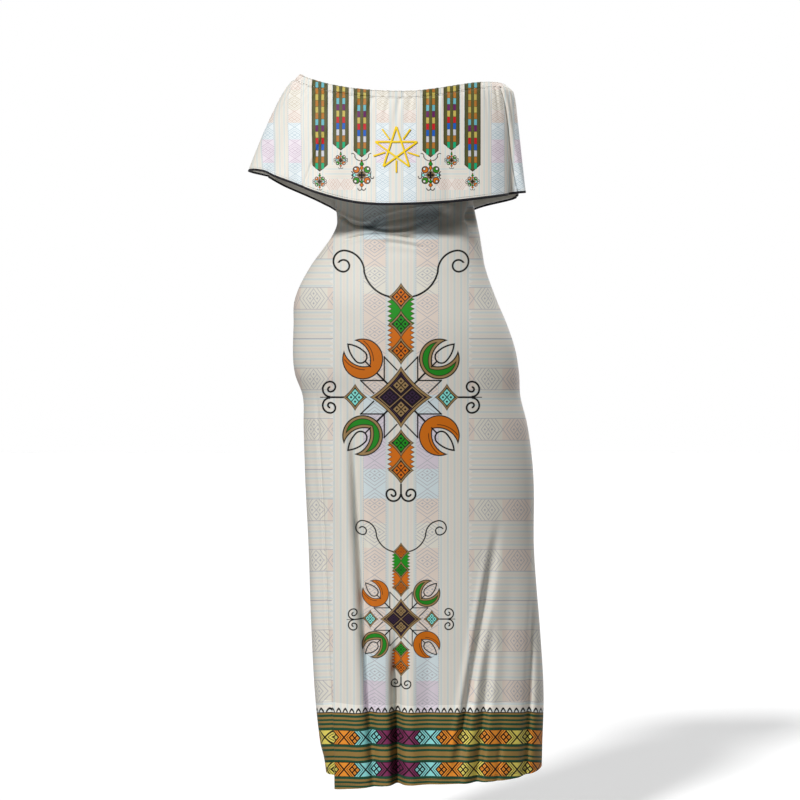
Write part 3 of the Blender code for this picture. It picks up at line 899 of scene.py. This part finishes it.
waist_rows = (-0.200, 10), (-0.224, 50), (-0.324, 14)
back_rows = stations((0, 20), *waist_rows, (-0.380, 80), (LOW_SKIRT, 16), (HEM, 0))
back_round = stations((SEAM_ANGLE_GAP, 248), (180 - SEAM_ANGLE_GAP, 0))
back_panel = grid_sheet("back_panel_cloth", body_form, back_round, back_rows, BACK_MIDDLE, unfolded_body)
give_thickness(back_panel, [ground_cloth, cross_cloth, border_cloth, inner_cloth], back_finishes)
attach(back_panel, "root")
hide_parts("back_panel")

front_rows = stations((0, 20), (-0.200, 34), (-0.340, 90), (LOW_SKIRT, 14), (HEM, 0))
front_round = stations((180 + SEAM_ANGLE_GAP, 130), (360 - SEAM_ANGLE_GAP, 0))
front_panel = grid_sheet("front_panel_cloth", body_form, front_round, front_rows, 0.0, unfolded_body)
give_thickness(front_panel, [ground_cloth, border_cloth, inner_cloth], front_finishes)
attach(front_panel, "root")
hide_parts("front_panel")

# Flounce
# Two curved strips of the same satin, back and front, joined over the arms. They hang from the neck casing
# and flare over the chest and arms in soft waves.

FLOUNCE_HEM = Ring(0.2880, 0.2335, 0.152, 0.196, -0.1570, -0.1960, -0.2350, -0.2400, 3.0, 1.4, 1.5)
FLOUNCE_DEPTH = 0.200
SPREAD_OVER_BODY, SPREAD_OVER_LEFT_ARM, SPREAD_OVER_RIGHT_ARM = 0.85, 0.70, 0.52
WAVE_GROWTH = 1.4
PRINT_SHIFT = 0.011  # where the middle of the flounce's print lies at the back

# waves of the flounce's edge: where each is and its width in degrees, and its height at the hem
WAVES = [
    (4, 9, 0.006), (25, 8, -0.006), (38, 8, 0.005), (49, 5, -0.007), (60, 8, 0.004),
    (73, 6, -0.005), (96, 12, 0.004), (118, 9, -0.004), (138, 9, 0.004), (157, 5, -0.012),
    (167, 6, 0.008), (186, 8, -0.007), (204, 9, 0.009), (223, 8, -0.008), (243, 9, 0.008),
    (262, 8, -0.006), (281, 9, 0.008), (300, 8, -0.008), (319, 9, 0.008), (340, 8, -0.007),
]
# creases down the flounce: angles at the top and at the hem, the share where each starts, width and depth
CREASES = [
    (152.9, 162.8, -0.3, 0.65, 0.0066),
    (155.3, 165.2, -0.1, 1.4, -0.0026),
    (58.0, 52.6, 0.25, 0.9, 0.004),
    (79.0, 78.0, 0.35, 1.4, 0.0016),
    (112.0, 116.0, 0.45, 2.4, 0.0012),
    (206.0, 198.0, 0.1, 1.6, 0.003),
    (243.0, 240.0, 0.3, 1.8, 0.002),
    (292.0, 297.0, 0.15, 1.6, 0.0026),
    (331.0, 338.0, 0.1, 1.6, 0.003),
]


GATHERS = ((0.0137, 0.9, 0.00055), (0.0190, 3.1, 0.00050), (0.0083, 5.2, 0.00025))  # length, phase, height
GATHER_DEPTH = 0.045  # how far they run down from the casing
NECK_REACH = 0.165


def ripples(angle, rows, sway, rate):
    """Small uneven waves that the neckline's elastic gives the cloth."""
    along = np.radians(angle) * NECK_REACH
    total = np.zeros_like(along)
    for length, phase, height in rows:
        total += height * np.sin(2 * math.pi * along / length + phase + sway * np.sin(along * rate + phase))
    return total


def between(angle, other):
    """The turn from one angle to another, from -180 to 180."""
    return (angle - other + 180) % 360 - 180


def flounce_form(angle, share):
    """Points on the outside of the flounce. Share runs from 0 at its seam to 1 at its hem."""
    top, _ = ring_oval(CASING_LOW, angle)
    low, outward = ring_oval(FLOUNCE_HEM, angle)
    c = np.cos(np.radians(angle))
    over_arm = np.where(c > 0, SPREAD_OVER_LEFT_ARM, SPREAD_OVER_RIGHT_ARM)
    spread = SPREAD_OVER_BODY * (1 - c * c) + over_arm * c * c
    held_share = np.clip(share, 0, None)
    wave = np.zeros_like(share)
    for place, width, height in WAVES:
        wave += height * np.exp(-((between(angle, place) / width) ** 2))
    wave *= held_share**WAVE_GROWTH
    for angle_top, angle_low, start, width, depth in CREASES:
        apart = between(angle, angle_top + (angle_low - angle_top) * share)
        wave -= depth * smooth((share - start) * 3) * np.exp(-((apart / width) ** 2))
    wave += ripples(angle, GATHERS, 1.3, 9) * np.exp(-((share * FLOUNCE_DEPTH / GATHER_DEPTH) ** 2))
    point = top + (low - top) * (held_share**spread)[..., None] + outward * wave[..., None]
    z = ring_height(CASING_LOW, angle) * (1 - share) + ring_height(FLOUNCE_HEM, angle) * share
    return np.concatenate([point, z[..., None]], axis=-1)


# The flounce's print, in mm: woven columns and stripes like the body's, three hanging straps to each side
# with a cross pendant under each, and a five-pointed star of interlaced lines in the middle

STRAP_MIDDLES, STRAP_PITCH, STRAP_HALF = 63.8, 38.9, 15.0
STRAP_TIPS = (-149.6, 38.6, -25.9)  # the inmost strap's tip, and how it changes with the strap's number
PENDANTS = (-182.3, 61.4, -33.7)
OLIVE = srgb("#5d5c31")
DARK_OLIVE = srgb("#3c3d1d")
DASH_BROWN, DASH_GOLD, DASH_CYAN = "#b9772c", "#c9b65a", "#6fb9c4"
STRAP_DASHES = (
    "#0fae78", DASH_BROWN, "#cfcfd6", "#1a5fc0", "#c81424", DASH_GOLD, "#6a2060", DASH_CYAN, DASH_BROWN,
    DASH_GOLD, DASH_BROWN, DASH_GOLD, DASH_BROWN, DASH_CYAN, DASH_BROWN, DASH_GOLD,
)  # from the tip up
DASH_START, DASH_STEP, DASH_GAP = 5.2, 11.6, 1.2
STAR_GOLD = srgb("#fdd60a")
STAR_SHADE = srgb("#4f4318")
STAR_MIDDLE, STAR_RADIUS, STAR_TURN = (0.0, -133.0), 41.0, 2 * math.pi / 5
ICE_PAIR = srgb("#eef5f7"), srgb("#b9cdd6")
PEACH_PAIR = srgb("#f5ece4"), srgb("#d9c1b2")
CREAM_PAIR = srgb("#f4f0e6"), srgb("#d3c8b2")
LILAC_PAIR = srgb("#f1e7ef"), srgb("#cdbaca")
FINE_WEAVE = 1.0, 0.7, 0.02  # mm of its lines and chevrons, share of its dots
FLOUNCE_FOOT = -240
FLOUNCE_SHADES = [
    (-240, *ICE_PAIR), (-160, *LILAC_PAIR), (-117, *ICE_PAIR), (-86, *PEACH_PAIR), (-62, *CREAM_PAIR),
    (-25, *PEACH_PAIR),
]  # height where each shade starts, its fill and its lines


def print_flounce_ground(paint):
    """The flounce's ground."""
    side = abs(paint.across)
    stripes(paint, side - 1.0, 9.0, inside(side - 400.0))
    column = abs(side - 25.1).least(abs(abs(side - 214.2) - 25.6)) - 11.7
    tall = (paint.up - FLOUNCE_FOOT) / -FLOUNCE_FOOT
    fills = [((start - FLOUNCE_FOOT) / -FLOUNCE_FOOT, fill) for start, fill, line in FLOUNCE_SHADES]
    paint.dye(inside(column), paint.ramp(tall, fills))
    inks = [((start - FLOUNCE_FOOT) / -FLOUNCE_FOOT, line) for start, fill, line in FLOUNCE_SHADES]
    lines, dots = tibeb(paint.up + 50.0, column + 11.7, 28.9, 11.7, *FINE_WEAVE)
    paint.dye(lines.most(dots) * inside(column), paint.ramp(tall, inks))
    paint.dye(stroke(column - 0.5, 1.2) * inside(paint.up.fold(3.4) - 1.1), INK_BLUE)


PENDANT_BAND = (103.0, 29.0, -199.4, 10.4)  # middle and half across, middle and half up
PENDANT_BAND_PITCH = 26.9
LINKS = (
    (26.2, 2.2, 1.5, RUST), (20.4, 5.0, 1.5, LEAF_GREEN), (13.2, 4.2, 1.5, RUST),
    (-12.2, 3.2, 1.2, LEAF_GREEN), (-18.4, 3.6, 1.2, RUST),
)  # diamonds of a pendant's stem and foot: height, half length, slope and colour


def print_straps(paint):
    """The hanging straps and their pendants."""
    side = abs(paint.across)
    middle, half, level, rise = PENDANT_BAND
    beside = inside(abs(side - middle) - half)
    stripes(paint, paint.up, 9.0, beside * inside(abs(paint.up - level - 24.0) - 12.0))
    paint.dye(beside * inside(abs(paint.up - level) - rise), PEACH_PAIR[0])
    lines, dots = tibeb(side - 116.3, paint.up - level, PENDANT_BAND_PITCH, rise, *FINE_WEAVE)
    paint.dye(lines.most(dots) * beside * inside(abs(paint.up - level) - rise), PEACH_PAIR[1])
    number = ((side - STRAP_MIDDLES) / STRAP_PITCH + 0.5).math("FLOOR").most(0.0).least(2.0)
    x = paint.across.math("SIGN") * (side - STRAP_MIDDLES - number * STRAP_PITCH)
    off = abs(x)
    above = paint.up - STRAP_TIPS[0] - number * (STRAP_TIPS[2] * number + STRAP_TIPS[1])
    taper = (above * (STRAP_HALF / 12.6)).least(STRAP_HALF)
    strap = off - taper
    paint.dye(inside(strap), DARK_OLIVE)
    weave = (abs(x) + above).fold(3.0) + (abs(x) - above).fold(3.0)
    paint.dye(inside(strap + 1.8) * inside(1.0 - weave), OLIVE)
    paint.dye(stroke(off, 2.2) * inside(3.0 - above), OLIVE)
    paint.dye(stroke(strap + 1.2, 1.8) * inside(above - 12.0), BLACK)
    span = DASH_STEP * len(STRAP_DASHES)
    stops = []
    for row, shade in enumerate(STRAP_DASHES):
        start = row * DASH_STEP
        stops += [(start / span, srgb(shade)), ((start + DASH_STEP - DASH_GAP) / span, DARK_OLIVE)]
    dashes = paint.ramp((above - DASH_START) / span, stops)
    paint.dye(stroke(off - 5.5, 5.0) * inside(DASH_START - above), dashes)

    # pendants: a small cross of crescents, hung from a stem
    first = (number - 0.5).math("LESS_THAN", 0.0)
    zoom = 1.8 - 0.8 * first
    y = (paint.up - PENDANTS[0] - number * (PENDANTS[2] * number + PENDANTS[1])) * zoom
    x = x * zoom
    off, away = abs(x), abs(y)
    curl = stroke(circle(off, y, (17.0, 35.5), 4.6), 1.5) * inside(33.0 - y)
    sweep = stroke(circle(off, y, (3.0, 37.0), 10.0), 1.5) * inside(y - 36.0) * inside(3.0 - off)
    paint.dye(curl.most(sweep) * first, BLACK)
    curl = stroke(circle(off, y, (3.6, -24.5), 3.6), 1.6) * inside(y + 24.0)
    scroll = stroke(circle(off, away, (19.5, 3.2), 3.2), 1.8)
    paint.dye(curl.most(scroll).most(stroke(away, 1.5) * inside(abs(off - 13.0) - 7.0)), BLACK)
    moon = circle(off, away, (10.0, 9.9), 5.7)
    bite = circle(off, away, (11.6, 11.6), 2.5)
    paint.dye(inside(moon - 1.0), BLACK)
    green = (x * y).math("GREATER_THAN", 0.0)
    paint.dye(inside(moon + 0.7), RUST)
    paint.dye(inside(moon + 0.7) * green, LEAF_GREEN)
    paint.dye(inside(bite - 0.6), BLACK)
    paint.dye(inside(bite + 0.5), WARM_WHITE)
    paint.dye(inside(abs(off - 13.6) + away * 0.9 - 4.0), BLACK)
    paint.dye(inside(abs(off - 13.6) + away * 0.9 - 2.6), CELL_CYAN)
    paint.dye(inside(off + away - 10.0), BLACK)
    paint.dye(stroke(off + away - 8.0, 1.4), TAN)
    paint.dye(inside(abs(off - 2.6).most(abs(away - 2.6)) - 0.7), TAN)
    for height, long, slope, shade in LINKS:
        link = off * slope + abs(y - height) - long
        paint.dye(inside(link - 1.8), BLACK)
        paint.dye(inside(link), shade)


def print_star(paint):
    """The star: five crossing lines, five short rays between its points, and a shadow to one side."""
    for shift, shade, width in (((1.2, -1.2), STAR_SHADE, 3.4), ((0, 0), STAR_GOLD, 3.2)):
        x = paint.across - STAR_MIDDLE[0] - shift[0]
        y = paint.up - STAR_MIDDLE[1] - shift[1]
        turn = x.math("ARCTAN2", y)
        part = turn / STAR_TURN
        near = (part + 0.5).math("FLOOR")
        leant = turn - near * STAR_TURN
        reach = (x * x + y * y) ** 0.5
        off, along = abs(leant.math("SINE") * reach), leant.math("COSINE") * reach
        slope = math.radians(18)
        edge = off * math.cos(slope) + along * math.sin(slope) - STAR_RADIUS * math.sin(slope)
        points = stroke(edge, width) * inside(along - STAR_RADIUS)
        ray_turn = turn - (part.math("FLOOR") + 0.5) * STAR_TURN
        ray_off, ray_along = abs(ray_turn.math("SINE") * reach), ray_turn.math("COSINE") * reach
        ray = stroke(ray_off, width * 0.9) * inside(abs(ray_along - 33.0) - 11.5)
        pent = stroke(along - STAR_RADIUS * 0.309, width) * inside(off - STAR_RADIUS * 0.225)
        paint.dye(points.most(ray).most(pent), shade)


STRAP_FIELD = (102.7, 62, -226)  # mm that the straps' finish takes up: middle and half across, foot
STAR_FIELD = (46, -184, -84)  # mm that the star's finish takes up: half across, foot and head
SEAM_ROWS = (2.6,)  # mm, a row of stitches beside the neck seam and the hem
STRAP_THREAD = srgb("#6f6c60")


def flounce_finishes(prints):
    """Which finish each face takes: ground, straps and pendants, or star."""
    across, up = np.abs(prints[:, 0]), prints[:, 1]
    at_straps = (np.abs(across - STRAP_FIELD[0]) < STRAP_FIELD[1]) & (up > STRAP_FIELD[2])
    at_star = (across < STAR_FIELD[0]) & (up > STAR_FIELD[1]) & (up < STAR_FIELD[2])
    return np.where(at_star, 2, np.where(at_straps, 1, 0))


flounce_cloth = printed_cloth("printed_flounce", [print_flounce_ground], SEAM_ROWS, PALE_THREAD)
strap_cloth = printed_cloth("printed_straps", [print_flounce_ground, print_straps], SEAM_ROWS, STRAP_THREAD)
star_cloth = printed_cloth("printed_star", [print_flounce_ground, print_star], SEAM_ROWS, PALE_THREAD)

back_round = stations((SEAM_ANGLE_GAP, 360), (180 - SEAM_ANGLE_GAP, 0))
down = stations((0, 66), (1, 0))
flounce_back = grid_sheet("flounce_back_cloth", flounce_form, back_round, down, PRINT_SHIFT)
give_thickness(flounce_back, [flounce_cloth, strap_cloth, star_cloth, inner_cloth], flounce_finishes)
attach(flounce_back, "root")
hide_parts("flounce_back")

front_round = stations((180 + SEAM_ANGLE_GAP, 240), (360 - SEAM_ANGLE_GAP, 0))
down = stations((0, 50), (1, 0))
flounce_front = grid_sheet("flounce_front_cloth", flounce_form, front_round, down, 0.0)
give_thickness(flounce_front, [flounce_cloth, inner_cloth])
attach(flounce_front, "root")
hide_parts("flounce_front")

# Binding
# A narrow black overlocked edge along the flounce's hem, in two strips joined over the arms. Its threads lie
# close together over the raw edge.

BINDING_WALL = 0.0020
BINDING_HEIGHT = 0.0045
BINDING_STEPS = 12


def binding_form(angle, turn):
    """Points round a flat tube under the flounce's hem. Turn runs once round the tube."""
    round_it = -2 * math.pi * turn
    share = 1 + (SEAM_GAP + BINDING_HEIGHT * (0.5 - 0.5 * power(np.cos(round_it), 0.6))) / FLOUNCE_DEPTH
    stand = BINDING_WALL / 2 * power(-np.sin(round_it), 0.6)
    point = flounce_form(angle, share)
    _, outward = ring_oval(FLOUNCE_HEM, angle)
    point[..., :2] += outward * (stand - CLOTH / 2)[..., None]
    return point


def weld(tube, cap_ends):
    """Joins a tube's long edges, and closes the ends of one that doesn't go all the way round."""
    bpy.ops.object.mode_set(mode="EDIT")
    bpy.ops.mesh.select_all(action="SELECT")
    bpy.ops.mesh.remove_doubles(threshold=1e-6)
    if cap_ends:
        bpy.ops.mesh.fill_holes(sides=0)
    bpy.ops.object.mode_set(mode="OBJECT")


def thread_finish():
    """Close black threads across the edge."""
    paint = Paint("overlocked_thread", srgb("#17151a"))
    paint.dye(inside(paint.across.fold(1.5) - 0.15) * 0.6, srgb("#34313a"))
    return paint.finish((), BLACK, roughness=0.7, sheen=0.3)


overlock = thread_finish()
for side, first in (("back", 0), ("front", 180)):
    strip = stations((first + SEAM_ANGLE_GAP, 400), (first + 180 - SEAM_ANGLE_GAP, 0))
    round_tube = stations((0, BINDING_STEPS), (1, 0))
    binding = grid_sheet(f"binding_{side}_cloth", binding_form, strip, round_tube, PRINT_SHIFT)
    weld(binding, cap_ends=True)
    binding.data.materials.append(overlock)
    bpy.ops.object.shade_smooth()
    binding.data.set_sharp_from_angle(angle=math.radians(60))
    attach(binding, "root")
    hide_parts(f"binding_{side}")

# Neck casing
# A doubled band of the same satin round the shoulders. Elastic runs through it and gathers it in puckers.

NECKLINE = Ring(0.1955, 0.1978, 0.112, 0.124, 0.0260, 0.0044, -0.0215, -0.0400, 1.5, 3.6)
CASING_WALL = 0.0030
CASING_PROFILE = [
    (1.00, 0.50), (0.985, 0.12), (0.92, 0.0), (0.80, 0.0), (0.66, 0.0), (0.50, 0.0), (0.34, 0.0), (0.20, 0.0),
    (0.08, 0.0), (0.015, 0.12), (0.00, 0.50), (0.015, 0.88), (0.08, 1.0), (0.50, 1.0), (0.92, 1.0),
    (0.985, 0.88), (1.00, 0.50),
]  # share of the height, share of the thickness inwards
PUCKERS = ((0.0071, 0.4, 0.00035), (0.0098, 2.2, 0.00040), (0.0163, 4.0, 0.00035))  # length, phase, height


def casing_form(angle, step):
    """Points round the casing. Step counts along its profile."""
    rows = np.array(CASING_PROFILE)
    up, inwards = rows[step.round().astype(int)].transpose(2, 0, 1)
    top, outward = ring_oval(NECKLINE, angle)
    low, _ = ring_oval(CASING_LOW, angle)
    pucker = ripples(angle, PUCKERS, 1.0, 11)
    point = low + (top - low) * up[..., None]
    point = point + outward * (pucker * (0.55 + 0.45 * up) - inwards * CASING_WALL)[..., None]
    bottom, head = ring_height(CASING_LOW, angle), ring_height(NECKLINE, angle)
    z = bottom + (head - bottom) * up + pucker * 0.8 * (up - 0.5)
    return np.concatenate([point, z[..., None]], axis=-1)


steps = len(CASING_PROFILE) - 1
profile = stations((0, steps), (steps, 0))
casing = grid_sheet("neck_casing_cloth", casing_form, stations((-90, 720), (270, 0)), profile, PRINT_SHIFT)
weld(casing, cap_ends=False)
casing.data.materials.append(strap_cloth)
bpy.ops.object.shade_smooth()
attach(casing, "root")
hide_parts("neck_casing")
